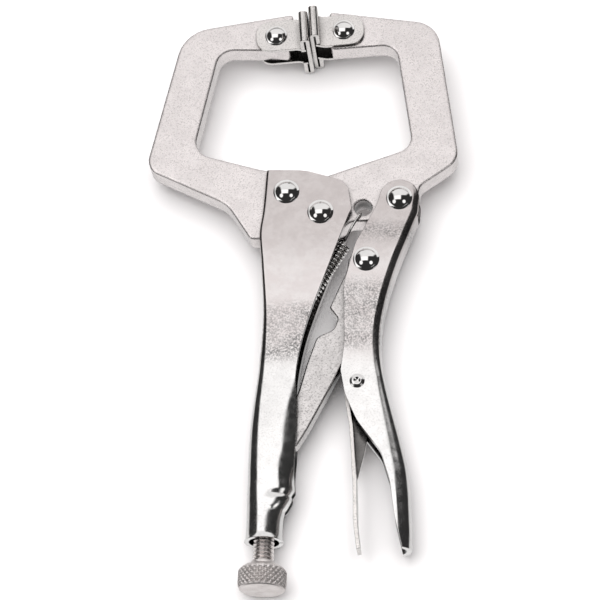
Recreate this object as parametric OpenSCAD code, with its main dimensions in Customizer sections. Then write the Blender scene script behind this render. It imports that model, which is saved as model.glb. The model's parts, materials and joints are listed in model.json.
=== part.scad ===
// Locking C-clamp pliers with swivel pads, lying flat: X across the jaws, Y from the knob to the
// pads, Z up through the thickness. The origin is the middle of the clamping gap, at mid-thickness.
// Outlines are written round the main jaw pivot and moved to the origin by at_clamp_centre().

/* [Jaws] */
// Thickness of the two forged jaws
jaw_t = 10; // [8:0.5:11]
// Distance from the main jaw pivot to the clamping gap, along Y
jaw_reach = 92.8; // [90:0.2:96]

/* [Handles] */
// Sheet thickness of the fixed handle and the lever
sheet_t = 2.8; // [2.2:0.1:3]
// Side play between a jaw and the channel that holds it
side_play = 0.1; // [0.1:0.05:0.3]
// Outer radius of the tubular handle end
tube_r = 8; // [7.6:0.1:8.4]

/* [Adjusting screw] */
// Outer radius of the screw thread
screw_r = 4.6; // [4:0.05:4.8]
// Gap between the screw's tip and the toggle link's foot
nose_gap = 3.6; // [3.5:0.1:5]
// Largest radius of the knurled knob
knob_r = 10.6; // [9:0.1:11.5]

/* [Pads] */
// Height of a pad's face, through the thickness of the tool
pad_h = 32; // [28:1:34]
// Width of a pad's face, along Y
pad_w = 15.6; // [14:0.2:17]
// Thickness of the pad's folded sheet
pad_t = 1.7; // [1.2:0.1:1.8]
// Gap between the two pad faces when locked shut
pad_gap = 0.4; // [0.2:0.1:1]

/* [Rivets] */
// Shank radius of the four large rivets
rivet_r = 3.5; // [3:0.1:3.8]
// Radius of the large rivets' domed heads
head_r = 5.3; // [4.6:0.1:5.6]
// Radial clearance of a rivet in its hole
fit = 0.05; // [0.02:0.01:0.08]

/* [Hidden] */
$fn = 64;

// Half-widths of the channels, inside and outside
inner_w = jaw_t / 2 + side_play;
outer_w = inner_w + sheet_t;
eps = 0.01;

// Pivots, round the main jaw pivot at [0, 0]
clamp_centre = [-8.4, jaw_reach];
fixed_rivet_at = [-15.8, 10.1];
lever_pivot = [35.4, 6.9];
link_pivot = [21.4, -23.4];
release_pivot = [19.2, -82.2];
spring_hole = [19, 3.2];
pad_pivot_span = 31.4;
pad_tilt = 5.3;
fixed_pad_pivot = clamp_centre - pad_pivot_span / 2 * [cos(pad_tilt), sin(pad_tilt)];
moving_pad_pivot = clamp_centre + pad_pivot_span / 2 * [cos(pad_tilt), sin(pad_tilt)];
foot_y = -112;
screw_x = -19.3;
spring_hole_r = 4;
// Relief in the fixed jaw for the movable jaw's round head
pivot_relief_r = 13.8;

// ---------------------------------------------------------------- helpers

module at_clamp_centre() {
    translate([-clamp_centre.x, -clamp_centre.y, 0]) children();
}

// A slab of a 2D shape, half on each side of mid-thickness
module slab(thickness) {
    linear_extrude(height = thickness, center = true) children();
}

module post(at, radius, length) {
    translate([at.x, at.y, 0]) cylinder(r = radius, h = length, center = true);
}

function unit(v) = v / norm(v);

// Points of the arc that rounds corner b of a path a, b, c with radius r
function corner_arc(a, b, c, r) =
    let (u = unit(a - b), v = unit(c - b),
         half = acos(u * v) / 2,
         centre = b + unit(u + v) * r / sin(half),
         start = b + u * r / tan(half) - centre,
         turn = (cross(u, v) > 0 ? -1 : 1) * (180 - 2 * half),
         steps = max(1, ceil(abs(turn) / 10)))
    [for (i = [0:steps])
        let (t = turn * i / steps)
        centre + [start.x * cos(t) - start.y * sin(t), start.x * sin(t) + start.y * cos(t)]];

// Closed outline through [x, y, corner radius] rows
function rounded(rows) =
    [for (i = [0:len(rows) - 1])
        let (n = len(rows), b = [rows[i].x, rows[i].y],
             a = [rows[(i + n - 1) % n].x, rows[(i + n - 1) % n].y],
             c = [rows[(i + 1) % n].x, rows[(i + 1) % n].y])
        each (rows[i].z > 0 ? corner_arc(a, b, c, rows[i].z) : [b])];

// Smooth row of a station table at y, where each row starts with its own y
function slope(table, i) =
    let (lo = max(i - 1, 0), hi = min(i + 1, len(table) - 1))
    (table[hi] - table[lo]) / (table[hi][0] - table[lo][0]);

function station(table, y, i = 0) =
    i < len(table) - 2 && y > table[i + 1][0] ? station(table, y, i + 1) :
    let (d = table[i + 1][0] - table[i][0], s = (y - table[i][0]) / d)
    (2 * s ^ 3 - 3 * s ^ 2 + 1) * table[i] + (s ^ 3 - 2 * s ^ 2 + s) * d * slope(table, i)
    + (3 * s ^ 2 - 2 * s ^ 3) * table[i + 1] + (s ^ 3 - s ^ 2) * d * slope(table, i + 1);

// Half of a bent-sheet section as [depth from the back, height] points: round the back corner,
// along the side and round the inturned lip. inset 0 is the outer skin and t the inner one.
function half_section(depth, w, back_r, curl, lip_r, inset) =
    concat(
        [for (i = [0:4])
            let (a = 90 * i / 4, r = max(back_r - inset, 0.3))
            [inset + r * (1 - cos(a)), w - inset - r * (1 - sin(a))]],
        [for (i = [0:3])
            let (a = curl * i / 3, r = lip_r - inset)
            [depth - lip_r * sin(curl) + r * sin(a), w - lip_r + r * cos(a)]]);

// Ring of a section: outer skin from the lower lip to the upper one, then the inner skin back
function section_ring(depth, w, back_r, curl, lip_r, t) =
    let (outer = half_section(depth, w, back_r, curl, lip_r, 0),
         inner = half_section(depth, w, back_r, curl, lip_r, t),
         last = len(outer) - 1)
    concat([for (i = [last:-1:0]) [outer[i].x, -outer[i].y]], outer,
           [for (i = [last:-1:0]) inner[i]], [for (p = inner) [p.x, -p.y]]);

// Sheet channel lofted along Y through rows of
// [y, back x, front x, half-width, back radius, lip curl in degrees, lip radius, sheet thickness]
module channel(table, step) {
    y0 = table[0][0];
    y1 = table[len(table) - 1][0];
    rows = ceil((y1 - y0) / step);
    side = table[0][2] > table[0][1] ? 1 : -1;
    rings = [for (k = [0:rows])
        let (s = station(table, y0 + (y1 - y0) * k / rows))
        [for (p = section_ring(abs(s[2] - s[1]), s[3], s[4], s[5], s[6], s[7]))
            [s[1] + side * p.x, s[0], p.y]]];
    n = len(rings[0]);
    function quad(a, b, c, d) = side > 0 ? [[a, b, c], [a, c, d]] : [[c, b, a], [d, c, a]];
    walls = [for (k = [0:rows - 1], i = [0:n - 1])
        let (j = (i + 1) % n)
        each quad(k * n + j, k * n + i, (k + 1) * n + i, (k + 1) * n + j)];
    low_cap = [for (i = [0:n / 2 - 2]) each quad(i, i + 1, n - 2 - i, n - 1 - i)];
    top = rows * n;
    high_cap = [for (i = [0:n / 2 - 2])
        each quad(top + n - 1 - i, top + n - 2 - i, top + i + 1, top + i)];
    polyhedron(points = [for (ring = rings, p = ring) p], faces = concat(walls, low_cap, high_cap));
}

// ---------------------------------------------------------------- jaws

fixed_jaw_outline = [
    [-16.6, 103.4, 1.5], [-67.4, 94.4, 17], [-81.2, 23.3, 8], [-43, 5.2, 16], [-31.4, -12.2, 2.5],
    [-24, -12.2, 2], [-6, 0, 2], [-6, 19.6, 2], [-26.8, 22, 30], [-60, 31.2, 8.5], [-50.3, 85, 8],
    [-17.6, 84.4, 2.5]];

movable_jaw_outline = [
    [0.2, 104.6, 1.5], [50.3, 97.9, 13], [61.8, 27.2, 9], [44.4, 14.2, 5], [42.2, -1.8, 6],
    [13.4, -3.6, 5], [6.4, -10.4, 4], [-8, -7.6, 5], [-9.6, 5, 6], [-3, 17.2, 5], [12.4, 23.1, 40],
    [40.8, 33.6, 8], [31.8, 87.2, 7.5], [1.2, 84.8, 2.5]];

module fixed_jaw() {
    color("silver") at_clamp_centre() difference() {
        slab(jaw_t) polygon(rounded(fixed_jaw_outline));
        post([0, 0], pivot_relief_r, jaw_t + 1);
        post(fixed_rivet_at, rivet_r + fit, jaw_t + 1);
        post(fixed_pad_pivot, pad_rivet_r + fit, jaw_t + 1);
    }
}

module movable_jaw() {
    color("silver") at_clamp_centre() difference() {
        slab(jaw_t) polygon(rounded(movable_jaw_outline));
        post([0, 0], rivet_r + fit, jaw_t + 1);
        post(lever_pivot, rivet_r + fit, jaw_t + 1);
        post(spring_hole, spring_hole_r, jaw_t + 1);
        post(moving_pad_pivot, pad_rivet_r + fit, jaw_t + 1);
    }
}

// ---------------------------------------------------------------- fixed handle

// [y, back x, front x, half-width, back radius, lip curl, lip radius, sheet]
handle_stations = [
    [-147, -27.2, -11.4, 8, 7.6, 86, 7.4, sheet_t],
    [-142, -27.2, -10.4, 8.1, 7.4, 84, 7.2, sheet_t],
    [-136, -27.3, -7.6, 8.2, 7.1, 80, 7.4, sheet_t],
    [-129, -27.4, -7.2, 8.2, 6.8, 72, 8, sheet_t],
    [-122, -27.5, -7.2, 8.3, 6.5, 52, 10, sheet_t],
    [-117.5, -27.5, -7.1, 8.3, 6.4, 34, 13, sheet_t],
    [-113, -27.5, -7, 8.3, 6.2, 31, 14, sheet_t],
    [-104, -27.3, -6.9, 8.3, 5.8, 30, 14, sheet_t],
    [-92, -26.4, -7.1, 8.1, 5, 23, 13, sheet_t],
    [-78, -25, -7.8, outer_w, 4.2, 8, 10, sheet_t],
    [-62, -24, -5.7, outer_w, 3.2, 5, 9, sheet_t],
    [-48, -23.9, -2.2, outer_w, 2.4, 5, 9, sheet_t],
    [-24, -25.9, 5.4, outer_w, 1.8, 5, 9, sheet_t],
    [-10, -27.2, 9.9, outer_w, 1.6, 5, 9, sheet_t],
    [1, -26.2, 13.6, outer_w, 1.6, 5, 9, sheet_t],
    [22, -25.4, 20, outer_w, 1.6, 5, 9, sheet_t]];
web_top = -12.4;
tube_end = -154.6;
spring_tail_y = -80;
spring_tail_hole_r = 1.5;

// Region above and to the right of the cheeks' rounded top edge
module cheek_trim() {
    top_edge = rounded([[-50, 21, 0], [-8, 20.8, 12], [11.6, 15.2, 6.5], [14.1, 1.5, 0],
        [30, 1.5, 0], [30, 40, 0], [-50, 40, 0]]);
    slab(2 * outer_w + 2) polygon(top_edge);
}

module fixed_handle() {
    tube_from = -145;
    color("lightsteelblue") at_clamp_centre() difference() {
        union() {
            channel(handle_stations, 8);
            translate([screw_x, tube_end, 0]) rotate([-90, 0, 0])
                cylinder(r = tube_r, h = tube_from - tube_end);
            translate([screw_x, tube_end, 0]) rotate([-90, 0, 0])
                cylinder(r1 = tube_r + 0.7, r2 = tube_r, h = 1.8);
            // Plug of the closed fold, which carries the female thread
            translate([screw_x, tube_from - 6, 0]) rotate([-90, 0, 0])
                cylinder(r = tube_r - sheet_t + 0.4, h = 16);
        }
        cheek_trim();
        translate([-50, web_top, -inner_w]) cube([100, 50, 2 * inner_w]);
        translate([screw_x, tube_end - 1, 0]) rotate([-90, 0, 0])
            cylinder(r = screw_r + fit, h = 40);
        post(fixed_rivet_at, rivet_r + fit, 2 * outer_w + 2);
        post([0, 0], rivet_r + fit, 2 * outer_w + 2);
        translate([-30, spring_tail_y, 0]) rotate([0, 90, 0])
            cylinder(r = spring_tail_hole_r, h = 12);
    }
}

// ---------------------------------------------------------------- lever

lever_depth = 27;
// [y, back x]; the front is trimmed to the outline below
lever_back = [
    [-158, 44.6], [-150, 44.6], [-141, 44.1], [-131, 43.4], [-120, 41.9], [-108, 38.8],
    [-94, 34.7], [-82, 31.4], [-71, 29.3], [-60, 28.6], [-50, 29.4], [-37, 31.9], [-23, 35.8],
    [-11, 40], [-1, 43.6], [4, 46], [17, 52]];
lever_stations = [for (s = lever_back)
    let (tip = s[0] < -150, t = tip ? 2.3 : sheet_t, w = tip ? outer_w - 0.8 : outer_w,
         grip = min(1, max(0, (-80 - s[0]) / 35)))
    [s[0], s[1], s[1] - lever_depth, w, 3.8 + 3 * grip, 5, 9, t]];

lever_edge = [
    [26.4, 7, 0], [25, 2.4, 8], [16.3, -15.4, 22], [11.7, -36, 12], [13, -64, 14],
    [11.7, -77, 5], [13.9, -88, 10], [19.4, -100.4, 22], [30.4, -115, 14], [34.6, -128, 30],
    [37, -144, 30], [40.8, -159, 0], [60, -159, 0], [60, 0.6, 0], [44.2, 0.6, 0], [44.4, 7, 0]];

module lever_outline() {
    polygon(rounded(lever_edge));
    translate(lever_pivot) circle(r = 9);
}

module lever() {
    color("lightsteelblue") at_clamp_centre() difference() {
        intersection() {
            channel(lever_stations, 7);
            slab(2 * outer_w + 2) lever_outline();
        }
        translate([20, -0.8, -inner_w]) cube([40, 20, 2 * inner_w]);
        post(lever_pivot, rivet_r + fit, 2 * outer_w + 2);
        post(link_pivot, rivet_r + fit, 2 * outer_w + 2);
        post(release_pivot, release_rivet_r + fit, 2 * outer_w + 2);
    }
}

// ---------------------------------------------------------------- toggle link

link_t = 7;
link_outline = [
    [13.2, -20, 6], [12.6, -27, 6], [5.4, -45.2, 1.2], [9.4, -50.4, 2.5], [7.6, -55.8, 4],
    [0.2, -59.6, 3], [-3.6, -72, 10], [-7, -86, 20], [-12.4, -97, 10], [-22.2, -105.4, 3],
    [-22.4, foot_y + 1, 3], [-14, foot_y - 0.4, 20], [-6.6, foot_y + 0.6, 2], [-2, -103, 20],
    [7.1, -83.8, 0], [11.8, -73, 8], [23.8, -50, 20], [30, -28, 8], [29.6, -16, 6], [21, -14.6, 6]];

module toggle_link() {
    color("lightgray") at_clamp_centre() difference() {
        slab(link_t) polygon(rounded(link_outline));
        post(link_pivot, rivet_r + fit, link_t + 1);
    }
}

// ---------------------------------------------------------------- release lever

release_w = 8.8;
release_sheet = 1.6;
release_cheek_end = -88.5;
release_side = [
    [13.4, -71.8, 1.5], [13.2, -86, 8], [16.2, -102.3, 30], [18.2, -124, 0], [20, -124, 0],
    [22.6, -112, 8], [25.6, -92, 12], [25.8, -76, 5], [18.4, -71.6, 3]];
// Blade: finger side down to the tip, then back up its other side
release_blade = [
    [17.6, -119, 0], [18.4, -128, 40], [19.2, -146, 40], [21, -158.4, 0], [22.7, -158, 0],
    [21, -146, 40], [20.2, -128, 40], [19.4, -119, 0]];
release_rivet_r = 2.2;

module release_lever() {
    color("lightgray") at_clamp_centre() difference() {
        union() {
            difference() {
                slab(release_w) polygon(rounded(release_side));
                translate([release_sheet, 0, 0])
                    slab(release_w - 2 * release_sheet) polygon(rounded(release_side));
                translate([15, -73.5, 0]) cube([20, 10, release_w - 2 * release_sheet], center = true);
                // The cheek nearer the user ends just below the rivet
                translate([release_sheet, 0, 0]) linear_extrude(height = release_w) intersection() {
                    polygon(rounded(release_side));
                    translate([0, -130]) square([40, 130 + release_cheek_end]);
                }
            }
            slab(release_w) polygon(rounded(release_blade));
        }
        post(release_pivot, release_rivet_r + fit, release_w + 1);
        // Finger serrations
        for (i = [0:6])
            post([18.15 + 0.08 * i, -126.5 - 1.7 * i], 0.45, release_w + 1);
    }
}

// ---------------------------------------------------------------- adjusting screw and knob

screw_tip_y = foot_y - 0.4 - nose_gap;
neck_y = -163.4;
knob_face_y = -176.2;
spigot_r = 3;
spigot_y = -172;

module turned(at_x) {
    translate([at_x, 0, 0]) rotate([-90, 0, 0]) rotate_extrude() children();
}

module adjusting_screw() {
    tip_flat_r = 2.4;
    color("gainsboro") at_clamp_centre() turned(screw_x)
        polygon([[0, spigot_y], [spigot_r, spigot_y], [spigot_r, neck_y], [screw_r, neck_y],
            [screw_r, screw_tip_y - 1.6], [tip_flat_r, screw_tip_y], [0, screw_tip_y]]);
}

module adjusting_knob() {
    neck_r = 5.1;
    face_r = 9.3;
    bore_end = spigot_y - 0.3;
    color("gainsboro") at_clamp_centre() turned(screw_x)
        polygon([[0, knob_face_y], [face_r, knob_face_y], [knob_r - 0.3, knob_face_y + 1.6],
            [knob_r, knob_face_y + 3], [knob_r - 0.3, -168.6], [knob_r - 1.6, -166.6],
            [knob_r - 3.6, -165.2], [neck_r + 0.3, -164.6], [neck_r, neck_y - 0.05],
            [spigot_r + fit, neck_y - 0.05], [spigot_r + fit, bore_end], [0, bore_end]]);
}

// ---------------------------------------------------------------- tension spring

spring_r = 3.2;
wire_r = 0.6;
coil_top = [11, -12.4];
coil_length = 48;
spring_lean = atan2(spring_hole.x - 1.2 - coil_top.x, spring_hole.y - coil_top.y);

// Wire along a route; side is a direction that no stretch of the route runs along
module wire(route, side) {
    sides = 8;
    last = len(route) - 1;
    points = [for (i = [0:last])
        let (along = unit(route[min(i + 1, last)] - route[max(i - 1, 0)]),
             u = unit(cross(along, side)), v = cross(along, u))
        for (k = [0:sides - 1])
            route[i] + wire_r * (cos(360 * k / sides) * u + sin(360 * k / sides) * v)];
    walls = [for (i = [0:last - 1], k = [0:sides - 1])
        let (a = i * sides + k, b = i * sides + (k + 1) % sides)
        each [[a, a + sides, b + sides], [a, b + sides, b]]];
    start_cap = [for (k = [0:sides - 1]) k];
    end_cap = [for (k = [sides - 1:-1:0]) last * sides + k];
    polyhedron(points = points, faces = concat(walls, [start_cap, end_cap]));
}

module tension_spring() {
    down = [-sin(spring_lean), -cos(spring_lean)];
    across = [cos(spring_lean), -sin(spring_lean), 0];
    coil_end = coil_top + coil_length * down;
    hook_z = jaw_t / 2 + wire_r + 0.2;
    bend_r = 1.2;
    // The hook passes over the jaw's lower rim and turns down into the hole
    hook = [spring_hole.x - 0.9, spring_hole.y - spring_hole_r + wire_r + 0.4];
    rim = hook + 8 * down;
    over = hook - bend_r * [-down.x, -down.y];
    tail = [screw_x + 3, spring_tail_y];
    color("dimgray") at_clamp_centre() {
        translate([coil_end.x, coil_end.y, 0]) rotate([0, 0, -spring_lean]) rotate([-90, 0, 0])
            difference() {
                cylinder(r = spring_r, h = coil_length);
                translate([0, 0, -1]) cylinder(r = spring_r - 2 * wire_r, h = coil_length - 1);
            }
        wire([[coil_top.x, coil_top.y, spring_r - wire_r - 0.4] + [down.x, down.y, 0],
            [rim.x, rim.y, hook_z - 0.5], [over.x, over.y, hook_z],
            [hook.x, hook.y, hook_z - bend_r], [hook.x, hook.y, -2]], across);
        wire([[coil_end.x, coil_end.y, spring_r - wire_r] - [down.x, down.y, 0],
            [tail.x + 1, tail.y + 2, 0.3], [tail.x - 1, tail.y, 0], [-24.6, spring_tail_y, 0]],
            [0, 0, 1]);
    }
}

// ---------------------------------------------------------------- swivel pads

pad_rivet_r = 2.6;
ear_back = 9.4;
face_x = pad_pivot_span / 2 - pad_gap / 2;
hem_t = 4.3;
// Each pad's face sits off its rivet, so that the two faces meet staggered
face_shift = 1.2;
ear_from = jaw_t / 2 + side_play;

// Ear that lies along one face of the jaw, from the pad's rivet to its folded hem
module pad_ear() {
    linear_extrude(height = pad_t) difference() {
        polygon(rounded([[-ear_back, -pad_w / 2, 6.5], [face_x - hem_t - 2, -pad_w / 2, 6],
            [face_x - hem_t / 2, -pad_w / 2 - face_shift, 0],
            [face_x - hem_t / 2, pad_w / 2 - face_shift, 0],
            [face_x - hem_t - 2, pad_w / 2, 6], [-ear_back, pad_w / 2, 6.5]]));
        circle(r = pad_rivet_r + fit);
    }
}

// Pad with its rivet at [0, 0] and its face towards +X
module pad() {
    slit = hem_t - 2 * pad_t;
    translate([0, -face_shift, 0]) rotate([90, 0, 0]) slab(pad_w) difference() {
        polygon(rounded([[face_x - hem_t, -pad_h / 2, 2], [face_x, -pad_h / 2, 2],
            [face_x, pad_h / 2, 2], [face_x - hem_t, pad_h / 2, 2]]));
        translate([face_x - hem_t + pad_t, -pad_h / 2 + pad_t]) square([slit, pad_h - 2 * pad_t]);
        translate([face_x - hem_t - 1, -ear_from]) square([hem_t - pad_t + 1, 2 * ear_from]);
    }
    translate([0, 0, ear_from]) pad_ear();
    mirror([0, 0, 1]) translate([0, 0, ear_from]) pad_ear();
}

module fixed_pad() {
    color("silver") at_clamp_centre() translate(fixed_pad_pivot) rotate(pad_tilt) pad();
}

module moving_pad() {
    color("silver") at_clamp_centre() translate(moving_pad_pivot) rotate(180 + pad_tilt) pad();
}

// ---------------------------------------------------------------- rivets

// Rivet with a domed head on a thin collar at each end; grip is the distance between its heads
module rivet(at, shank, head, grip, rise) {
    collar = 0.5;
    dome_r = (head ^ 2 + rise ^ 2) / (2 * rise);
    arc = asin(head / dome_r);
    profile = concat([[0, 0], [shank, 0], [shank, grip / 2], [head + 0.7, grip / 2],
            [head + 0.6, grip / 2 + collar * 0.6]],
        [for (i = [0:6])
            let (a = arc * (1 - i / 6))
            [dome_r * sin(a), grip / 2 + collar + rise - dome_r * (1 - cos(a))]]);
    color("whitesmoke") at_clamp_centre() translate([at.x, at.y, 0]) {
        rotate_extrude() polygon(profile);
        mirror([0, 0, 1]) rotate_extrude() polygon(profile);
    }
}

grip = 2 * outer_w + 0.04;
pad_grip = 2 * (ear_from + pad_t) + 0.04;

module fixed_jaw_rivet() { rivet(fixed_rivet_at, rivet_r, head_r, grip, 1.9); }
module jaw_pivot_rivet() { rivet([0, 0], rivet_r, head_r, grip, 1.9); }
module lever_pivot_rivet() { rivet(lever_pivot, rivet_r, head_r, grip, 1.9); }
module link_rivet() { rivet(link_pivot, rivet_r, head_r, grip, 1.9); }
module release_lever_rivet() { rivet(release_pivot, release_rivet_r, 2.7, grip, 0.5); }
module fixed_pad_rivet() { rivet(fixed_pad_pivot, pad_rivet_r, 4.5, pad_grip, 1.6); }
module moving_pad_rivet() { rivet(moving_pad_pivot, pad_rivet_r, 4.5, pad_grip, 1.6); }

fixed_handle();
fixed_jaw();
movable_jaw();
lever();
toggle_link();
release_lever();
adjusting_screw();
adjusting_knob();
tension_spring();
fixed_pad();
moving_pad();
fixed_jaw_rivet();
jaw_pivot_rivet();
lever_pivot_rivet();
link_rivet();
release_lever_rivet();
fixed_pad_rivet();
moving_pad_rivet();
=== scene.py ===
"""Locking C-clamp pliers with swivel pads, in nickel-plated steel.

Lengths are millimetres round the main jaw pivot, as the tool is drawn: X across the jaws, Y from
the knob to the pads, Z up through the thickness. place() turns them into the model's metres.
"""

import json
import math

import bmesh
import bpy
from mathutils import Matrix, Vector


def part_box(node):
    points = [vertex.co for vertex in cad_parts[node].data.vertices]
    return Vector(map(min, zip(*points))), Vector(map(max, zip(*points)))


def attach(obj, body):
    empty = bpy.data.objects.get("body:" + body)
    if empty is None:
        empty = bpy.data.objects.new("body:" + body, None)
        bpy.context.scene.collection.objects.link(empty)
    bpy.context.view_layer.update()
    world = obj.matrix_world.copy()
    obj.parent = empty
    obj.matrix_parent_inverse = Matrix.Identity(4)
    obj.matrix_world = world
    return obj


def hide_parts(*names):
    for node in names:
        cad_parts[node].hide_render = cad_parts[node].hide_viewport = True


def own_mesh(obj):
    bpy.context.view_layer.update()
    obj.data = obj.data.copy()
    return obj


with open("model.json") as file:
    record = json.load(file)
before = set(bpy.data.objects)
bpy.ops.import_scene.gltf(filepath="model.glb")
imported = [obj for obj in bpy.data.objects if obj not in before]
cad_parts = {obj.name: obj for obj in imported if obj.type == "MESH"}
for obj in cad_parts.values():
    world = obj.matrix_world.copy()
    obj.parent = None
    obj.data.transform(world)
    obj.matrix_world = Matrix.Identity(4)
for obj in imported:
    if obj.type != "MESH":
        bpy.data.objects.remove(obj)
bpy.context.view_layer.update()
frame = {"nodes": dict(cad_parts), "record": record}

MM = 0.001
WELD = 1e-6
JOINTS = {joint["name"]: joint for joint in frame["record"]["behaviour"]["joints"]}
JAW_PIVOT = Vector(JOINTS["jaw_swing"]["pos_m"])

# Half-widths of the two sheet channels outside and inside, and their sheet
OUTER = 7.9
INNER = 5.1
SHEET = 2.8


def place(x, y, z=0.0):
    """A drawing point in the model's metres."""
    return JAW_PIVOT + Vector((x, y, z)) * MM


def pivot_of(node):
    """Centre of a round node, in drawing millimetres."""
    low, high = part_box(node)
    return ((low + high) / 2 - JAW_PIVOT) / MM


# ---------------------------------------------------------------- mesh helpers

ARC_STEP = math.radians(6)
# Radius that stands for the axis in a turned profile
AXIS_R = 0.01


def make_piece(name, points, faces, material, body, node):
    """Welded smooth mesh from drawing points, riding on a body and standing for a CAD node."""
    mesh = bpy.data.meshes.new(name)
    mesh.from_pydata([place(*point) for point in points], [], faces)
    tidy = bmesh.new()
    tidy.from_mesh(mesh)
    bmesh.ops.remove_doubles(tidy, verts=tidy.verts, dist=WELD)
    bmesh.ops.dissolve_degenerate(tidy, edges=tidy.edges, dist=WELD)
    bmesh.ops.recalc_face_normals(tidy, faces=tidy.faces)
    tidy.to_mesh(mesh)
    tidy.free()
    piece = bpy.data.objects.new(name, mesh)
    bpy.context.collection.objects.link(piece)
    mesh.materials.append(material)
    mesh.polygons.foreach_set("use_smooth", [True] * len(mesh.polygons))
    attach(piece, body)
    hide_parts(node)
    return piece


def round_edges(piece, width, segments=3):
    """Bevelled rims with even shading across the flat faces."""
    bevel = piece.modifiers.new("rounded_edges", "BEVEL")
    bevel.width = width * MM
    bevel.segments = segments
    bevel.limit_method = "ANGLE"
    bevel.angle_limit = math.radians(32)
    bevel.use_clamp_overlap = True
    bevel.miter_outer = "MITER_ARC"
    even = piece.modifiers.new("even_shading", "WEIGHTED_NORMAL")
    even.keep_sharp = False
    even.weight = 80


def strip(first, second, flip=False):
    """Quads between two rows of point numbers."""
    quads = [(first[i], first[i + 1], second[i + 1], second[i]) for i in range(len(first) - 1)]
    return [quad[::-1] for quad in quads] if flip else quads


def lathe(profile, centre, along, sides, warp=None):
    """Points and faces of a profile of (radius, height) rows turned round an axis.

    along is "z" for a rivet and "y" for the screw; warp(angle, height, radius) changes the radius.
    """
    points, faces = [], []
    for radius, height in profile:
        for k in range(sides):
            angle = 2 * math.pi * k / sides
            r = warp(angle, height, radius) if warp else radius
            a, b = r * math.cos(angle), r * math.sin(angle)
            if along == "z":
                points.append((centre[0] + a, centre[1] + b, height))
            else:
                points.append((centre[0] + a, height, b))
    for row in range(len(profile) - 1):
        low, high = row * sides, (row + 1) * sides
        for k in range(sides):
            j = (k + 1) % sides
            faces.append((low + k, low + j, high + j, high + k))
    faces.append(tuple(range(sides)))
    last = (len(profile) - 1) * sides
    faces.append(tuple(range(last + sides - 1, last - 1, -1)))
    return points, faces


def fillet(rows):
    """Path through (x, y, radius) rows with each corner rounded by its radius; ends stay put."""
    path = []
    for i, (x, y, radius) in enumerate(rows):
        corner = Vector((x, y))
        if radius == 0 or i in (0, len(rows) - 1):
            path.append(corner)
            continue
        u = (Vector(rows[i - 1][:2]) - corner).normalized()
        v = (Vector(rows[i + 1][:2]) - corner).normalized()
        half = u.angle(v) / 2
        centre = corner + (u + v).normalized() * radius / math.sin(half)
        start = corner + u * radius / math.tan(half) - centre
        turn = (-1 if u.cross(v) > 0 else 1) * (math.pi - 2 * half)
        count = max(2, math.ceil(abs(turn) / ARC_STEP))
        for k in range(count + 1):
            path.append(centre + Matrix.Rotation(turn * k / count, 2) @ start)
    return path


def x_at(path, y):
    """Where a path that runs one way in Y crosses height y."""
    for a, b in zip(path, path[1:]):
        if min(a.y, b.y) <= y <= max(a.y, b.y) and a.y != b.y:
            return a.x + (b.x - a.x) * (y - a.y) / (b.y - a.y)
    return min(path, key=lambda point: abs(point.y - y)).x


def along_path(path, s):
    """Point at share s of a path's length."""
    lengths = [(b - a).length for a, b in zip(path, path[1:])]
    left = s * sum(lengths)
    for a, b, length in zip(path, path[1:], lengths):
        if left <= length and length > 0:
            return a.lerp(b, left / length)
        left -= length
    return path[-1].copy()


def even_steps(low, high, step):
    count = max(1, math.ceil((high - low) / step))
    return [low + (high - low) * k / count for k in range(count + 1)]


def clamp(share):
    return min(1.0, max(0.0, share))


def station(table, y):
    """Row of a table at y, on smooth curves through its rows, which each start with their own y."""
    i = 0
    while i < len(table) - 2 and y > table[i + 1][0]:
        i += 1

    def slope(k):
        low, high = table[max(k - 1, 0)], table[min(k + 1, len(table) - 1)]
        return [(b - a) / (high[0] - low[0]) for a, b in zip(low, high)]

    d = table[i + 1][0] - table[i][0]
    s = (y - table[i][0]) / d
    near, far, rise, fall = table[i], table[i + 1], slope(i), slope(i + 1)
    return [(2 * s**3 - 3 * s**2 + 1) * near[k] + (s**3 - 2 * s**2 + s) * d * rise[k]
            + (3 * s**2 - 2 * s**3) * far[k] + (s**3 - s**2) * d * fall[k] for k in range(len(near))]


# ---------------------------------------------------------------- materials

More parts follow.
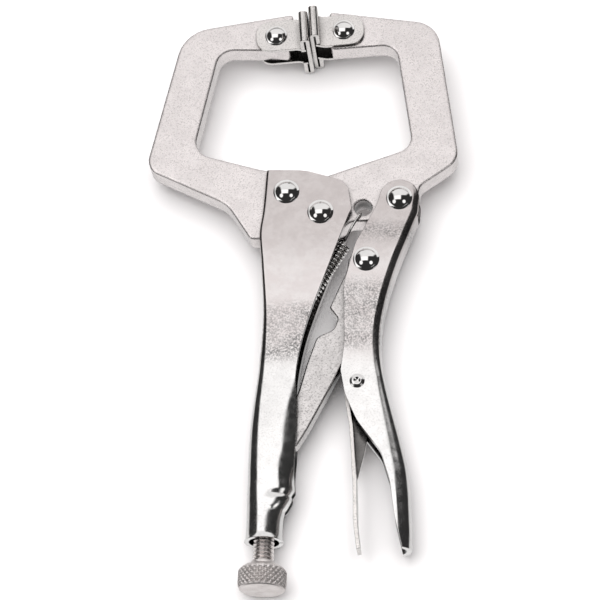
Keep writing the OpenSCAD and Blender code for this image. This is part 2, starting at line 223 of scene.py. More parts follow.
class Plating:
    """Node builder for one nickel finish; every length it takes is in millimetres."""

    def __init__(self, name):
        self.material = bpy.data.materials.new(name)
        self.material.use_nodes = True
        self.nodes = self.material.node_tree.nodes
        self.links = self.material.node_tree.links
        self.shader = self.nodes["Principled BSDF"]
        self.coords = self.nodes.new("ShaderNodeTexCoord").outputs["Object"]

    def noise(self, size, detail=2, rough=0.5):
        """Noise whose features measure about size."""
        node = self.nodes.new("ShaderNodeTexNoise")
        node.inputs["Scale"].default_value = 1 / (size * MM)
        node.inputs["Detail"].default_value = detail
        node.inputs["Roughness"].default_value = rough
        self.links.new(self.coords, node.inputs["Vector"])
        return node.outputs["Fac"]

    def spread(self, value, low, high, start=0.35, end=0.65):
        """Smooth step from low to high while the value goes from start to end."""
        node = self.nodes.new("ShaderNodeMapRange")
        node.interpolation_type = "SMOOTHSTEP"
        for socket, number in zip(("From Min", "From Max", "To Min", "To Max"), (start, end, low, high)):
            node.inputs[socket].default_value = number
        self.links.new(value, node.inputs["Value"])
        return node.outputs["Result"]

    def times(self, first, second):
        node = self.nodes.new("ShaderNodeMath")
        node.operation = "MULTIPLY"
        self.links.new(first, node.inputs[0])
        self.links.new(second, node.inputs[1])
        return node.outputs[0]

    def blend(self, factor, first, second):
        """Mix of two colours, each a node's output or a plain (r, g, b)."""
        node = self.nodes.new("ShaderNodeMix")
        node.data_type = "RGBA"
        self.links.new(factor, node.inputs[0])
        for socket, value in ((node.inputs[6], first), (node.inputs[7], second)):
            if isinstance(value, tuple):
                socket.default_value = (*value, 1)
            else:
                self.links.new(value, socket)
        return node.outputs[2]

    def parts_of(self, vector):
        split = self.nodes.new("ShaderNodeSeparateXYZ")
        self.links.new(vector, split.inputs[0])
        return split.outputs

    def band(self, low, high, soft):
        """1 between two heights along the tool, fading over soft at both ends."""
        y = self.parts_of(self.coords)["Y"]
        ends = [JAW_PIVOT.y + height * MM for height in (low - soft, low + soft, high - soft, high + soft)]
        return self.times(self.spread(y, 0, 1, ends[0], ends[1]), self.spread(y, 1, 0, ends[2], ends[3]))

    def painted_hollow_shade(self, reach):
        """Painted shade mask: 0 in hollows and where parts meet, 1 on open faces."""
        node = self.nodes.new("ShaderNodeAmbientOcclusion")
        node.samples = 8
        node.inputs["Distance"].default_value = reach * MM
        return self.spread(node.outputs["AO"], 0, 1, 0.2, 0.8)

    def inner_face_shade(self, inside):
        """Painted shade mask: 1 on faces that look away from mid-thickness, and inside on those that look
        towards it.
        """
        geometry = self.nodes.new("ShaderNodeNewGeometry")
        facing = self.parts_of(geometry.outputs["True Normal"])["Z"]
        height = self.parts_of(self.coords)["Z"]
        return self.spread(self.times(facing, height), inside, 1, -0.8 * MM, -0.1 * MM)

    def relief(self, edge, *layers):
        """Worn edges of radius edge, and bumps from (height, depth) layers."""
        worn = self.nodes.new("ShaderNodeBevel")
        worn.samples = 8
        worn.inputs["Radius"].default_value = edge * MM
        normal = worn.outputs[0]
        for height, depth in layers:
            node = self.nodes.new("ShaderNodeBump")
            node.inputs["Distance"].default_value = depth * MM
            self.links.new(height, node.inputs["Height"])
            self.links.new(normal, node.inputs["Normal"])
            normal = node.outputs[0]
        self.links.new(normal, self.shader.inputs["Normal"])


def shade_of(tint, share):
    return tuple(channel * share for channel in tint)


# Darker colour towards the jaws, on a finish with frosted bands: (from y, to y, colour)
HEAD_TONES = [(-70, 60, (0.77, 0.71, 0.70)), (-20, 60, (0.63, 0.575, 0.565))]


def plated_steel(name, tint, rough, grain, speckle, frost_bands=(), hollow=9, inside=0.35, edge=0.4,
                 metal=1.0):
    """Nickel plate: cloudy tint and gloss, fine grain, grey specks, and painted shade in its hollows.

    rough is its mean roughness, grain the depth of its finest relief in micrometres, and speckle
    how dark its specks are. frost_bands are the stretches from one y to another that are densely
    speckled. hollow is the reach of the painted shade that other steel round a point puts on it, inside
    how bright painted shade leaves the faces towards mid-thickness, edge the radius of its worn edges, and
    metal how metallic it is.
    """
    plate = Plating(name)
    plate.shader.inputs["Metallic"].default_value = metal
    clouds = plate.spread(plate.noise(9, 3), 0, 1)
    colour = plate.blend(clouds, shade_of(tint, 0.93), tint)
    specks = plate.spread(plate.noise(0.75, 2, 0.6), 0, speckle, 0.5, 0.66)
    colour = plate.blend(specks, colour, shade_of(tint, 0.35))
    roughness = plate.spread(plate.noise(3.5, 3), rough * 0.8, rough * 1.25)
    for low, high, tone in HEAD_TONES if frost_bands else ():
        darker_head = plate.times(plate.band(low, high, 10), plate.spread(plate.noise(5, 3, 0.6), 0.7, 1))
        colour = plate.blend(darker_head, colour, tone)
    for low, high in frost_bands:
        cover = plate.times(plate.band(low, high, 4.5), plate.spread(plate.noise(12, 2), 0.55, 1))
        frost = plate.times(cover, plate.spread(plate.noise(0.85, 4, 0.8), 0, 1, 0.41, 0.58))
        colour = plate.blend(frost, colour, shade_of(tint, 0.22))
    # Painted shade: the colour darkens towards near black in hollows and where parts meet
    lit = plate.painted_hollow_shade(hollow)
    # Painted shade on the faces that look towards mid-thickness, into a channel, as bright as inside lets
    # them stay
    if inside < 1:
        lit = plate.times(lit, plate.inner_face_shade(inside))
    colour = plate.blend(lit, shade_of(tint, 0.04), colour)
    plate.links.new(colour, plate.shader.inputs["Base Color"])
    plate.links.new(roughness, plate.shader.inputs["Roughness"])
    fine = grain / 1000
    plate.relief(edge, (plate.noise(0.5, 3, 0.6), fine), (plate.noise(4.5, 2), 5 * fine))
    return plate.material


# hollow and inside set how much painted shade each finish gets in its hollows and on its inner faces
satin = plated_steel("satin_nickel", (0.90, 0.84, 0.83), 0.26, 9, 0.3, edge=1.9)
handle_nickel = plated_steel("handle_nickel", (0.93, 0.91, 0.90), 0.17, 6, 0.16, [(-72, -46)])
lever_nickel = plated_steel("lever_nickel", (0.93, 0.91, 0.90), 0.17, 6, 0.16, [(-66, -34), (-13, -6)])
# The link's tint is darker than the other plate as painted shade for where it lies deep between the
# cheeks, and its long hollow reach adds more painted shade; its dense specks are its own mottled finish
shaded_link_nickel = plated_steel("shaded_link_nickel", (0.74, 0.705, 0.695), 0.27, 10, 0.6, hollow=14, edge=0.9)
# Pad plate, also on the release lever: inside=0.2 puts near-black painted shade on the faces inside their
# hems and channel
pad_nickel = plated_steel("pad_nickel", (0.84, 0.80, 0.78), 0.22, 5, 0.3, hollow=7, inside=0.2)
chrome = plated_steel("rivet_chrome", (0.92, 0.90, 0.89), 0.05, 0.6, 0.05, hollow=2, inside=1, edge=0.1)
spring_wire = plated_steel("spring_wire", (0.90, 0.88, 0.86), 0.2, 0.1, 0.02, hollow=1.4, inside=1,
                           edge=0.02)
turned_nickel = plated_steel("turned_nickel", (0.90, 0.84, 0.82), 0.24, 2, 0.1, hollow=1.2, inside=1,
                             edge=0.05, metal=0.92)
knurl_nickel = plated_steel("knurl_nickel", (0.93, 0.87, 0.85), 0.42, 3, 0.1, hollow=1.1, inside=1,
                            edge=0.08, metal=0.84)


# ---------------------------------------------------------------- bent-sheet channels

WEB_COLUMNS = 3
CORNER_COLUMNS = 10
WALL_COLUMNS = 9
LIP_COLUMNS = 8
ROW_STEP = 1.2
# Tightest bend inside the sheet, and the gap that keeps the web's last column off the corner
MIN_BEND_R = 0.3
WEB_GAP = 0.05


def web_and_corner(w, r, inset, turn):
    """Middle of the back, up to the jaws' slot or the corner, and then the corner through turn."""
    top = min(INNER, w - inset - r - WEB_GAP)
    section = [(inset, top * k / (WEB_COLUMNS - 1)) for k in range(WEB_COLUMNS)]
    for k in range(CORNER_COLUMNS + 1):
        a = turn * k / CORNER_COLUMNS
        section.append((inset + r * (1 - math.cos(a)), w - inset - r * (1 - math.sin(a))))
    return section


def trough_section(depth, w, back_r, inset):
    """Upper half of a section whose sheet is trimmed at depth, wherever its bend has got to."""
    r = max(back_r - inset, MIN_BEND_R)
    bend_to = min(r, 0.75 * (depth - inset))
    section = web_and_corner(w, r, inset, math.acos(1 - bend_to / r))
    for k in range(1, WALL_COLUMNS + LIP_COLUMNS + 1):
        d = inset + bend_to + (depth - inset - bend_to) * k / (WALL_COLUMNS + LIP_COLUMNS)
        a = math.acos(max(0.0, 1 - (d - inset) / r))
        section.append((d, w - inset - r * (1 - math.sin(a))))
    return section


def curled_section(depth, w, back_r, curl, lip_r, inset):
    """Upper half of a section whose lip curls in, as (depth from the back, height) points."""
    section = web_and_corner(w, max(back_r - inset, MIN_BEND_R), inset, math.pi / 2)
    wall_from = section[-1][0]
    lip_from = depth - lip_r * math.sin(curl)
    for k in range(1, WALL_COLUMNS):
        section.append((wall_from + (lip_from - wall_from) * k / WALL_COLUMNS, w - inset))
    r = lip_r - inset
    for k in range(LIP_COLUMNS + 1):
        a = curl * k / LIP_COLUMNS
        section.append((lip_from + r * math.sin(a), w - lip_r + r * math.cos(a)))
    return section


def coons(bottom, top, left, right):
    """Patch (c, s) -> point between four edges, each a function of its own share 0..1."""
    def patch(c, s):
        across = bottom(c) * (1 - s) + top(c) * s
        up = left(s) * (1 - c) + right(s) * c
        corners = ((bottom(0) * (1 - c) + bottom(1) * c) * (1 - s) + (top(0) * (1 - c) + top(1) * c) * s)
        return across + up - corners
    return patch


def channel_mesh(rows, patch, patch_rows, side, flat_head):
    """Half channel above mid-thickness, mirrored below it.

    rows are (y, back x, outer section, inner section) from the free end to the top of the web.
    Above it the two cheeks follow patch up to their rounded heads, and flat_head evens out their
    bend on the way. side is 1 where depth runs towards +X, and -1 where it runs towards -X.
    """
    points, outer, inner = [], [], []

    def add(x, y, z):
        points.append((x, y, z))
        return len(points) - 1

    def cheek(section, fade=0.0):
        heights = [max(z, INNER) for _, z in section]
        return [z + (max(heights) - z) * fade for z in heights]

    for y, back, out, inn in rows:
        outer.append([add(back + side * d, y, z) for d, z in out])
        inner.append([add(back + side * d, y, z) for d, z in inn])
    _, _, out, inn = rows[-1]
    depth = out[-1][0]
    share_out = [d / depth for d, _ in out]
    share_in = [min(d / depth, 1.0) for d, _ in inn]
    for k in range(patch_rows + 1):
        s = k / patch_rows
        fade = s * s if flat_head else 0.0
        up = [(patch(c, s), z) for c, z in zip(share_out, cheek(out, fade))]
        down = [(patch(c, s), z) for c, z in zip(share_in, cheek(inn))]
        outer.append([add(p.x, p.y, z) for p, z in up])
        inner.append([add(p.x, p.y, z) for p, z in down])

    faces = []
    web_edge = WEB_COLUMNS - 1
    web_top = len(rows) - 1
    for k in range(len(outer) - 1):
        start = 0 if k < web_top else web_edge
        faces += strip(outer[k][start:], outer[k + 1][start:])
        faces += strip(inner[k][start:], inner[k + 1][start:], flip=True)
        faces.append((outer[k][-1], inner[k][-1], inner[k + 1][-1], outer[k + 1][-1]))
        if start:
            faces.append((inner[k][start], outer[k][start], outer[k + 1][start], inner[k + 1][start]))
    faces += strip(outer[0], inner[0])
    faces += strip(outer[web_top][:web_edge + 1], inner[web_top][:web_edge + 1], flip=True)
    faces += strip(outer[-1][web_edge:], inner[-1][web_edge:], flip=True)
    count = len(points)
    points += [(x, y, -z) for x, y, z in points]
    faces += [tuple(count + k for k in face[::-1]) for face in faces]
    return points, faces


# ---------------------------------------------------------------- fixed handle

# [y, back x, front x, half-width, back radius, lip curl in degrees, lip radius, sheet thickness]
HANDLE_STATIONS = [
    [-154.6, -27.2, -11.4, 8, 7.9, 89, 7.9, 1.3],
    [-152, -27.2, -11.4, 8, 7.9, 89, 7.9, 1.5],
    [-149, -27.2, -11.4, 8, 7.8, 89, 7.8, SHEET],
    [-144, -27.2, -11.1, 8, 7.6, 87, 7.6, SHEET],
    [-141, -27.2, -10, 8.1, 7.4, 84, 7.2, SHEET],
    [-136.5, -27.3, -7.9, 8.2, 7.1, 80, 7.4, SHEET],
    [-132, -27.4, -6.7, 8.2, 6.9, 76, 7.8, SHEET],
    [-128, -27.4, -7.1, 8.2, 6.8, 70, 8.2, SHEET],
    [-122, -27.5, -7.2, 8.3, 6.5, 54, 10, SHEET],
    [-117.5, -27.5, -7.1, 8.3, 6.4, 38, 13, SHEET],
    [-113, -27.5, -7, 8.3, 6.2, 33, 14, SHEET],
    [-104, -27.3, -6.9, 8.3, 5.8, 32, 14, SHEET],
    [-92, -26.4, -7.1, 8.1, 5, 25, 13, SHEET],
    [-78, -25, -7.8, OUTER, 4.2, 8, 10, SHEET],
    [-62, -24, -5.7, OUTER, 3.2, 5, 9, SHEET],
    [-48, -23.9, -2.2, OUTER, 2.4, 5, 9, SHEET],
    [-24, -25.9, 5.4, OUTER, 1.8, 5, 9, SHEET],
    [-10, -27.2, 9.9, OUTER, 1.6, 5, 9, SHEET],
    [1, -26.2, 13.6, OUTER, 1.6, 5, 9, SHEET],
    [22, -25.4, 20, OUTER, 1.6, 5, 9, SHEET]]
HANDLE_WEB_TOP = -12.4
HANDLE_HEAD_TOP = 21
# Top and front edge of the cheeks, and the x that parts the one from the other
HANDLE_CHEEK_EDGE = fillet([(-50, 21, 0), (-8, 20.8, 12), (11.6, 15.2, 6.5), (14.1, 1.5, 0)])
HANDLE_CORNER_X = 12.2

# Turned-out mouth of the tube: how far it flares, and over what length
TUBE_END = -154.6
MOUTH_FLARE = 0.7
MOUTH_LENGTH = 2.2
# Creases where the sheet was folded shut into the tube: (y, depth, half-length)
CREASES = [(-134, 1.0, 1.1), (-141.5, 0.45, 0.8)]
# A crease starts at this share of the depth, and grows over this share
CREASE_FROM = 0.35
CREASE_OVER = 0.35


def handle_back(y):
    return Vector((station(HANDLE_STATIONS, y)[1], y))


def handle_front(y):
    return Vector((station(HANDLE_STATIONS, y)[2], y))


def pinched(section, depth, amount):
    """Section with its front pressed towards its middle by amount."""
    middle = Vector((depth / 2, 0))
    result = []
    for d, z in section:
        share = clamp((d / depth - CREASE_FROM) / CREASE_OVER)
        point = Vector((d, z))
        inward = middle - point
        if inward.length > 1:
            point += inward.normalized() * amount * share * share * (3 - 2 * share)
        result.append((point.x, max(point.y, 0.0)))
    return result


def handle_row(y):
    _, back, front, w, back_r, curl, lip_r, sheet = station(HANDLE_STATIONS, y)
    curl = math.radians(curl)
    depth = front - back
    flare = MOUTH_FLARE * clamp(1 - (y - TUBE_END) / MOUTH_LENGTH) ** 2
    out = curled_section(depth + 2 * flare, w + flare, back_r + flare, curl, lip_r + flare, 0)
    inn = [(d + flare, z) for d, z in curled_section(depth, w, back_r, curl, lip_r, sheet)]
    crease = sum(deep * math.exp(-((y - at) / length) ** 2) for at, deep, length in CREASES)
    return y, back - flare, pinched(out, depth, crease), pinched(inn, depth, crease)


def make_fixed_handle():
    rows = [handle_row(y) for y in even_steps(TUBE_END, HANDLE_WEB_TOP, ROW_STEP)]
    corner = HANDLE_CHEEK_EDGE
    split = next(k for k, p in enumerate(corner) if p.x > HANDLE_CORNER_X)
    top_back = handle_back(HANDLE_HEAD_TOP) + Vector((0.2, 0))
    top_edge = [top_back] + [p for p in corner[:split + 1] if p.x > top_back.x + 1]
    low_front = handle_front(HANDLE_WEB_TOP)
    front_edge = [low_front] + [handle_front(y) for y in even_steps(-11, -1, 2)]
    front_edge += reversed(corner[split:])
    rise = HANDLE_HEAD_TOP - HANDLE_WEB_TOP
    patch = coons(lambda c: handle_back(HANDLE_WEB_TOP).lerp(low_front, c),
                  lambda c: along_path(top_edge, c),
                  lambda s: handle_back(HANDLE_WEB_TOP + rise * s),
                  lambda s: along_path(front_edge, s))
    points, faces = channel_mesh(rows, patch, 24, 1, flat_head=False)
    handle = make_piece("fixed_handle_shell", points, faces, handle_nickel, "handle", "fixed_handle")
    round_edges(handle, 0.55)


# ---------------------------------------------------------------- lever

# [y, back x]
LEVER_BACK = [
    [-158, 44.6], [-150, 44.6], [-141, 44.1], [-131, 43.4], [-120, 41.9], [-108, 38.8],
    [-94, 34.7], [-82, 31.4], [-71, 29.3], [-60, 28.6], [-50, 29.4], [-37, 31.9], [-23, 35.8],
    [-11, 40], [-1, 43.6], [4, 46], [17, 52]]
LEVER_FRONT = fillet([
    (40.8, -159, 0), (37, -144, 30), (34.6, -128, 30), (30.4, -115, 14), (19.4, -100.4, 22),
    (13.9, -88, 10), (11.7, -77, 5), (13, -64, 14), (11.7, -36, 12), (16.3, -15.4, 22), (25, 2.4, 8),
    (26.4, 7, 0)])
LEVER_END = -158
LEVER_WEB_TOP = -0.8
LEVER_HEAD_R = 9
LEVER_SHOULDER = Vector((44.2, 0.8))
# Back radius at the head, and how much rounder the grip gets from GRIP_TOP down over GRIP_FADE
LEVER_BACK_R = 3.8
GRIP_ROUNDER = 3
GRIP_TOP = -80
GRIP_FADE = 35
# The sheet narrows and thins over the last stretch above the free end
TIP_TOP = -148
TIP_LENGTH = 8
TIP_NARROWER = 0.8
TIP_THINNER = 0.5


def lever_row(y):
    back = station(LEVER_BACK, y)[1]
    tip = clamp((TIP_TOP - y) / TIP_LENGTH)
    w = OUTER - TIP_NARROWER * tip
    sheet = SHEET - TIP_THINNER * tip
    back_r = LEVER_BACK_R + GRIP_ROUNDER * clamp((GRIP_TOP - y) / GRIP_FADE)
    depth = back - x_at(LEVER_FRONT, y)
    out = trough_section(depth, w, back_r, 0)
    inn = trough_section(depth, w, back_r, min(sheet, depth - 0.3))
    return y, back, out, inn


def make_lever():
    rows = [lever_row(y) for y in even_steps(LEVER_END, LEVER_WEB_TOP, ROW_STEP)]
    head = pivot_of("lever_pivot_rivet").to_2d()

    def rim(start, end, step):
        """Points of the round head, from one angle towards another in degrees."""
        angles = [math.radians(a) for a in range(start, end, step)]
        return [head + Vector((math.cos(a), math.sin(a))) * LEVER_HEAD_R for a in angles]

    low_back = Vector((station(LEVER_BACK, LEVER_WEB_TOP)[1], LEVER_WEB_TOP))
    low_front = Vector((x_at(LEVER_FRONT, LEVER_WEB_TOP), LEVER_WEB_TOP))
    front_edge = [low_front] + [p for p in LEVER_FRONT if p.y > LEVER_WEB_TOP + 0.3] + rim(175, 134, -5)
    back_edge = [low_back, LEVER_SHOULDER] + rim(0, 46, 5)
    top_edge = rim(45, 136, 5)
    patch = coons(lambda c: low_back.lerp(low_front, c), lambda c: along_path(top_edge, c),
                  lambda s: along_path(back_edge, s), lambda s: along_path(front_edge, s))
    points, faces = channel_mesh(rows, patch, 14, -1, flat_head=True)
    lever = make_piece("lever_shell", points, faces, lever_nickel, "lever", "lever")
    round_edges(lever, 0.55)


# ---------------------------------------------------------------- forged and stamped plates

def finish_plate(node, material, edge, segments=3):
    """CAD plate with its true outline: welded, its flat faces made whole and its rims rounded."""
    plate = frame["nodes"][node]
    plate.data.materials.clear()
    plate.data.materials.append(material)
    weld = plate.modifiers.new("weld", "WELD")
    weld.merge_threshold = WELD
    flat = plate.modifiers.new("flat_faces", "DECIMATE")
    flat.decimate_type = "DISSOLVE"
    flat.angle_limit = math.radians(0.5)
    round_edges(plate, edge, segments)


# ---------------------------------------------------------------- rivets

# Height of a dome's foot over the sheet
DOME_FOOT = 0.5
# Radii of the shank, dome and ring, how far the dome rises, and how deep it is dished
MAIN_RIVET = {"shank": 3.5, "head": 4.7, "ring": 5.9, "rise": 1.9}
PAD_RIVET = {"shank": 2.6, "head": 4.1, "ring": 5.1, "rise": 1.6}
RELEASE_RIVET = {"shank": 2.2, "head": 2.6, "ring": 3.3, "rise": 0.5, "dish": 0.9}


def rivet_profile(half, shank, head, ring, rise, dish):
    """Dome on a thin ring, from mid-thickness up; half is half the grip between the two heads."""
    dome_r = (head**2 + rise**2) / (2 * rise)
    arc = math.asin(head / dome_r)
    profile = [(AXIS_R, 0.0), (shank, 0.0), (shank, half), (ring, half), (ring, half + 0.12),
               (ring - 0.12, half + 0.22), (head + 0.25, half + 0.28), (head + 0.05, half + 0.4)]
    for k in range(13):
        a = arc * (1 - k / 12)
        r = max(dome_r * math.sin(a), AXIS_R)
        sunk = dish * max(0.0, 1 - (r / (0.62 * head)) ** 2)
        profile.append((r, half + DOME_FOOT + rise - dome_r * (1 - math.cos(a)) - sunk))
    return profile


def make_rivet(node, body, shank, head, ring, rise, dish=0.0):
    low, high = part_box(node)
    grip = (high.z - low.z) / MM - 2 * (rise + DOME_FOOT)
    profile = rivet_profile(grip / 2, shank, head, ring, rise, dish)
    whole = [(r, -z) for r, z in reversed(profile[1:])] + profile[1:]
    points, faces = lathe(whole, pivot_of(node), "z", 64)
    piece = make_piece(node + "_dome", points, faces, chrome, body, node)
    piece.data.set_sharp_from_angle(angle=math.radians(50))


# ---------------------------------------------------------------- adjusting screw and knob

SCREW_PITCH = 1.75
THREAD_DEPTH = 0.95
THREAD_RUNOUT = 1.5
PIN_R = 3.0
KNURL_ROUND = 26
KNURL_DEPTH = 0.85
SOCKET_R = 3.1
SOCKET_DEPTH = 3.9


def turned_size(node):
    """Lowest and highest y of a node turned about the screw's axis, and its radius."""
    low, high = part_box(node)
    return (low.y - JAW_PIVOT.y) / MM, (high.y - JAW_PIVOT.y) / MM, (high.x - low.x) / 2 / MM


def make_screw():
    y0, y1, crest = turned_size("adjusting_screw")
    knob_top = turned_size("adjusting_knob")[1]
    root = crest - THREAD_DEPTH

    def thread(angle, y, radius):
        """Helical thread whose crests fall away at the screw's tip."""
        if radius < crest - 0.001:
            return radius
        turn = (y / SCREW_PITCH - angle / (2 * math.pi)) % 1.0
        lift = min(1.0, 2.4 * min(turn, 1 - turn))
        runout = clamp((y1 - 1.2 - y) / THREAD_RUNOUT)
        return root + (crest - root) * lift * (0.35 + 0.65 * runout)

    profile = [(AXIS_R, y0), (PIN_R, y0), (PIN_R, knob_top)]
    profile += [(crest, y) for y in even_steps(knob_top + 0.02, y1 - 1.3, SCREW_PITCH / 12)]
    profile += [(crest - 0.9, y1 - 0.8), (2.4, y1), (AXIS_R, y1)]
    points, faces = lathe(profile, pivot_of("adjusting_screw"), "y", 48, thread)
    make_piece("screw_thread", points, faces, turned_nickel, "screw", "adjusting_screw")


def make_knob():
    y0, y1, full = turned_size("adjusting_knob")
    knurl_low, knurl_high = y0 + 0.5, y1 - 4.2

    def knurl(angle, y, radius):
        """Two crossing sets of grooves that fade out at both ends."""
        edge = clamp(min(y - knurl_low, knurl_high - y) / 0.7)
        lead = (y - y0) / full * KNURL_ROUND
        one = abs(((angle * KNURL_ROUND + lead) / (2 * math.pi)) % 1.0 - 0.5) * 2
        two = abs(((angle * KNURL_ROUND - lead) / (2 * math.pi)) % 1.0 - 0.5) * 2
        return radius - KNURL_DEPTH * edge * (1 - min(1.0, 1.5 * min(one, two)))

    profile = [(AXIS_R, y0), (full - 1.5, y0), (full - 1.15, y0 + 0.1), (full - 0.95, y0 + 0.35)]
    for y in even_steps(y0 + 0.55, y1 - 4.6, 0.22):
        round_off = max(0.0, 1 - (y - y0) / 3.2)
        profile.append((full - 0.02 - 0.9 * round_off ** 2, y))
    profile += [(full - 0.35, y1 - 4.1), (full - 1.2, y1 - 3.1), (full - 2.6, y1 - 2.1),
                (full - 4.4, y1 - 1.5), (full - 5.3, y1 - 1.1), (5.15, y1 - 0.3), (4.95, y1),
                (SOCKET_R, y1), (SOCKET_R, y0 + SOCKET_DEPTH), (AXIS_R, y0 + SOCKET_DEPTH)]
    points, faces = lathe(profile, pivot_of("adjusting_knob"), "y", KNURL_ROUND * 8, knurl)
    knob = make_piece("knurled_knob", points, faces, knurl_nickel, "knob", "adjusting_knob")
    knob.data.set_sharp_from_angle(angle=math.radians(38))


# ---------------------------------------------------------------- tension spring

SPRING_HOLE = Vector((19, 3.2, 0))
SPRING_TAIL = Vector((-15.8, -80, 0))
COIL_TOP = Vector((11, -12.4, 0))
COIL_LENGTH = 48
COIL_R = 2.6
COIL_TURNS = 24
STEPS_A_TURN = 20
WIRE_R = 0.6
WIRE_SIDES = 10


def sweep(route, radius, sides):
    """Round wire along a route, its rings carried without twist."""
    points, faces = [], []
    across = None
    last = len(route) - 1
    for i, centre in enumerate(route):
        along = (route[min(i + 1, last)] - route[max(i - 1, 0)]).normalized()
        if across is None:
            across = along.orthogonal().normalized()
        across = (across - along * across.dot(along)).normalized()
        other = along.cross(across)
        for k in range(sides):
            a = 2 * math.pi * k / sides
            points.append(tuple(centre + (across * math.cos(a) + other * math.sin(a)) * radius))
    for i in range(last):
        low, high = i * sides, (i + 1) * sides
        for k in range(sides):
            j = (k + 1) % sides
            faces.append((low + k, low + j, high + j, high + k))
    faces.append(tuple(range(sides))[::-1])
    faces.append(tuple(last * sides + k for k in range(sides)))
    return points, faces


def smooth_route(corners, steps=6):
    """Catmull-Rom curve through the corners."""
    route = []
    ends = [corners[0] * 2 - corners[1]] + corners + [corners[-1] * 2 - corners[-2]]
    for a, b, c, d in zip(ends, ends[1:], ends[2:], ends[3:]):
        for k in range(steps):
            t = k / steps
            route.append(((b * 2) + (c - a) * t + (a * 2 - b * 5 + c * 4 - d) * t**2
                          + (b * 3 - a - c * 3 + d) * t**3) / 2)
    route.append(corners[-1].copy())
    return route


def make_spring():
    """Close coil, hooked over the jaw's face into its hole, its tail turned to the handle's back."""
    hook_end = SPRING_HOLE + Vector((-0.9, -3.0, 0))
    up = (hook_end - COIL_TOP).normalized()
    high = Vector((0, 0, 1))
    side = high.cross(up)
    coil = []
    for k in range(COIL_TURNS * STEPS_A_TURN + 1):
        a = 2 * math.pi * k / STEPS_A_TURN
        centre = COIL_TOP - up * COIL_LENGTH * k / (COIL_TURNS * STEPS_A_TURN)
        coil.append(centre + (high * math.cos(a) + side * math.sin(a)) * COIL_R)
    face = INNER + 0.5
    hook = [hook_end - high * 3, hook_end + high * (face - 2.0),
            hook_end - up * 0.7 + high * (face - 0.3), hook_end - up * 2.0 + high * face,
            hook_end - up * 8.0 + high * face, COIL_TOP + up * 2.2 + high * (COIL_R + 1.2)]
    last = coil[-1]
    tail = [last, last - up * 1.6 - high * 0.3]
    tail += [SPRING_TAIL + Vector(step) for step in ((3, 6, 1), (0, 1, 0.2), (-4, 0, 0), (-8.7, 0, 0))]
    route = smooth_route(hook + [coil[0]])[:-1] + coil + smooth_route(tail)[1:]
    points, faces = sweep(route, WIRE_R, WIRE_SIDES)
    spring = make_piece("spring_coil", points, faces, spring_wire, "handle", "tension_spring")
    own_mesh(spring)


make_fixed_handle()
make_lever()
finish_plate("fixed_jaw", satin, 1.9)
finish_plate("movable_jaw", satin, 1.9)
finish_plate("toggle_link", shaded_link_nickel, 0.8)
finish_plate("release_lever", pad_nickel, 0.3, 2)
finish_plate("fixed_pad", pad_nickel, 0.45)
finish_plate("moving_pad", pad_nickel, 0.45)
make_rivet("fixed_jaw_rivet", "handle", **MAIN_RIVET)
make_rivet("jaw_pivot_rivet", "handle", **MAIN_RIVET)
make_rivet("lever_pivot_rivet", "lever", **MAIN_RIVET)
make_rivet("link_rivet", "lever", **MAIN_RIVET)
make_rivet("release_lever_rivet", "lever", **RELEASE_RIVET)
make_rivet("fixed_pad_rivet", "fixed_pad", **PAD_RIVET)
make_rivet("moving_pad_rivet", "moving_pad", **PAD_RIVET)
make_screw()
make_knob()
make_spring()


# ---------------------------------------------------------------- camera, light and floor

# Camera: metres and degrees; tilt leans it towards the knob and yaw towards the lever
CAMERA_TARGET = Vector((0.0001, -0.1329, 0))
CAMERA_DISTANCE = 1.23
CAMERA_TILT = 24
CAMERA_YAW = 5.6
CAMERA_ROLL = 2.5


def make_camera():
    """A long lens over the tool."""
    tilt, yaw, roll = math.radians(CAMERA_TILT), math.radians(CAMERA_YAW), math.radians(CAMERA_ROLL)
    back = Vector((math.sin(yaw), -math.sin(tilt) * math.cos(yaw), math.cos(tilt) * math.cos(yaw)))
    back.normalize()
    right = Vector((0, 1, 0)).cross(back).normalized()
    up = back.cross(right)
    right, up = (right * math.cos(roll) + up * math.sin(roll),
                 up * math.cos(roll) - right * math.sin(roll))
    data = bpy.data.cameras.new("camera")
    data.lens = 165
    data.sensor_width = 36
    data.clip_end = 50
    camera = bpy.data.objects.new("camera", data)
    turn = Matrix((right, up, back)).transposed().to_4x4()
    camera.matrix_world = Matrix.Translation(CAMERA_TARGET + back * CAMERA_DISTANCE) @ turn
    bpy.context.collection.objects.link(camera)
    bpy.context.scene.camera = camera


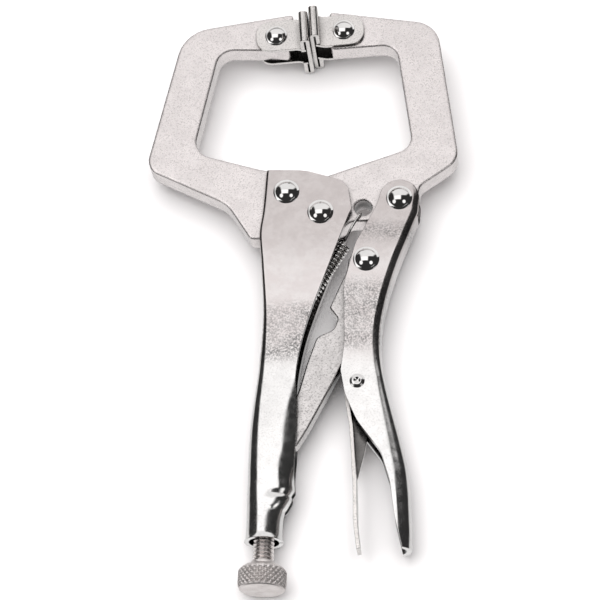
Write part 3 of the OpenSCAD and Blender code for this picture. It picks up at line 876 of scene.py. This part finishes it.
def make_studio():
    """White tent over and beyond the tool, a panel at each side in front, and a pale table under it.

    What lies between them is nearly black. All of it is drawn by direction, as the plating mirrors it.
    """
    world = bpy.data.worlds.new("studio")
    world.use_nodes = True
    nodes, links = world.node_tree.nodes, world.node_tree.links
    background = nodes["Background"]
    background.inputs[0].default_value = (1, 1, 1, 1)
    coords = nodes.new("ShaderNodeTexCoord")
    split = nodes.new("ShaderNodeSeparateXYZ")
    links.new(coords.outputs["Generated"], split.inputs[0])
    x, y, z = split.outputs["X"], split.outputs["Y"], split.outputs["Z"]

    def step(value, start, end, low=0.0, high=1.0):
        node = nodes.new("ShaderNodeMapRange")
        node.interpolation_type = "SMOOTHSTEP"
        for socket, number in zip(("From Min", "From Max", "To Min", "To Max"), (start, end, low, high)):
            node.inputs[socket].default_value = number
        links.new(value, node.inputs["Value"])
        return node.outputs["Result"]

    def combine(operation, *values):
        result = values[0]
        for value in values[1:]:
            node = nodes.new("ShaderNodeMath")
            node.operation = operation
            for socket, given in zip(node.inputs, (result, value)):
                if isinstance(given, float):
                    socket.default_value = given
                else:
                    links.new(given, socket)
            result = node.outputs[0]
        return result

    def panel(direction, inner, outer):
        """Round panel in a direction, full to inner degrees from its middle and gone by outer."""
        dot = nodes.new("ShaderNodeVectorMath")
        dot.operation = "DOT_PRODUCT"
        links.new(coords.outputs["Generated"], dot.inputs[0])
        dot.inputs[1].default_value = Vector(direction).normalized()
        return step(dot.outputs["Value"], math.cos(math.radians(outer)), math.cos(math.radians(inner)))

    # Beyond the tool the tent reaches further to the right, and is dimmer than overhead
    right_edge = combine("SUBTRACT", x, step(y, 0.44, 0.54, 0.0, 0.5))
    tent = combine("MULTIPLY", step(x, -0.70, -0.57), step(right_edge, 0.26, 0.12), step(y, -0.14, -0.06),
                   step(z, -0.2, 0.1), step(y, 0.34, 0.46, 1.2, 0.84))
    left_panel = combine("MULTIPLY", panel((-0.66, -0.30, 0.70), 11, 16), 1.1)
    right_panel = combine("MULTIPLY", panel((0.60, -0.32, 0.74), 10, 15), 1.1)
    table = combine("MULTIPLY", step(z, -0.26, -0.42), step(y, 0.1, -0.2, 0.68, 0.8))
    dark = 0.03
    total = combine("ADD", combine("MAXIMUM", tent, left_panel, right_panel, table), dark)
    links.new(total, background.inputs[1])
    bpy.context.scene.world = world


# Half the floor's width, and its gap under the tool, in metres
FLOOR_SIZE = 6
FLOOR_GAP = 0.0001


def make_floor():
    """The tool rests on the lower edges of its pads and on the knob, so the floor slopes a little."""
    pad_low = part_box("fixed_pad")[0]
    knob_low, knob_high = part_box("adjusting_knob")
    y_knob = (knob_low.y + knob_high.y) / 2
    slope = math.atan2(knob_low.z - pad_low.z, pad_low.y - y_knob)
    corners = [(-1, -1), (1, -1), (1, 1), (-1, 1)]
    mesh = bpy.data.meshes.new("floor")
    mesh.from_pydata([(a * FLOOR_SIZE, b * FLOOR_SIZE, 0) for a, b in corners], [], [(0, 1, 2, 3)])
    floor = bpy.data.objects.new("floor", mesh)
    floor.location = (0, pad_low.y, pad_low.z - FLOOR_GAP)
    floor.rotation_euler = (-slope, 0, 0)
    floor.visible_glossy = False
    bpy.context.collection.objects.link(floor)
    material = bpy.data.materials.new("floor")
    material.use_nodes = True
    shader = material.node_tree.nodes["Principled BSDF"]
    shader.inputs["Base Color"].default_value = (0.95, 0.925, 0.925, 1)
    shader.inputs["Roughness"].default_value = 0.8
    mesh.materials.append(material)


def make_lamp():
    """Wide lamp that lights the floor and draws the soft shadows, unseen in the plating."""
    data = bpy.data.lights.new("overhead", "AREA")
    data.shape = "DISK"
    data.size = 1.8
    data.energy = 20
    lamp = bpy.data.objects.new("overhead", data)
    lamp.location = (-0.05, -0.05, 1.2)
    lamp.rotation_euler = (Vector((0, -0.13, 0)) - lamp.location).to_track_quat("-Z", "Y").to_euler()
    lamp.visible_glossy = False
    bpy.context.collection.objects.link(lamp)


make_camera()
make_studio()
make_floor()
make_lamp()
bpy.context.scene.view_settings.view_transform = "Standard"
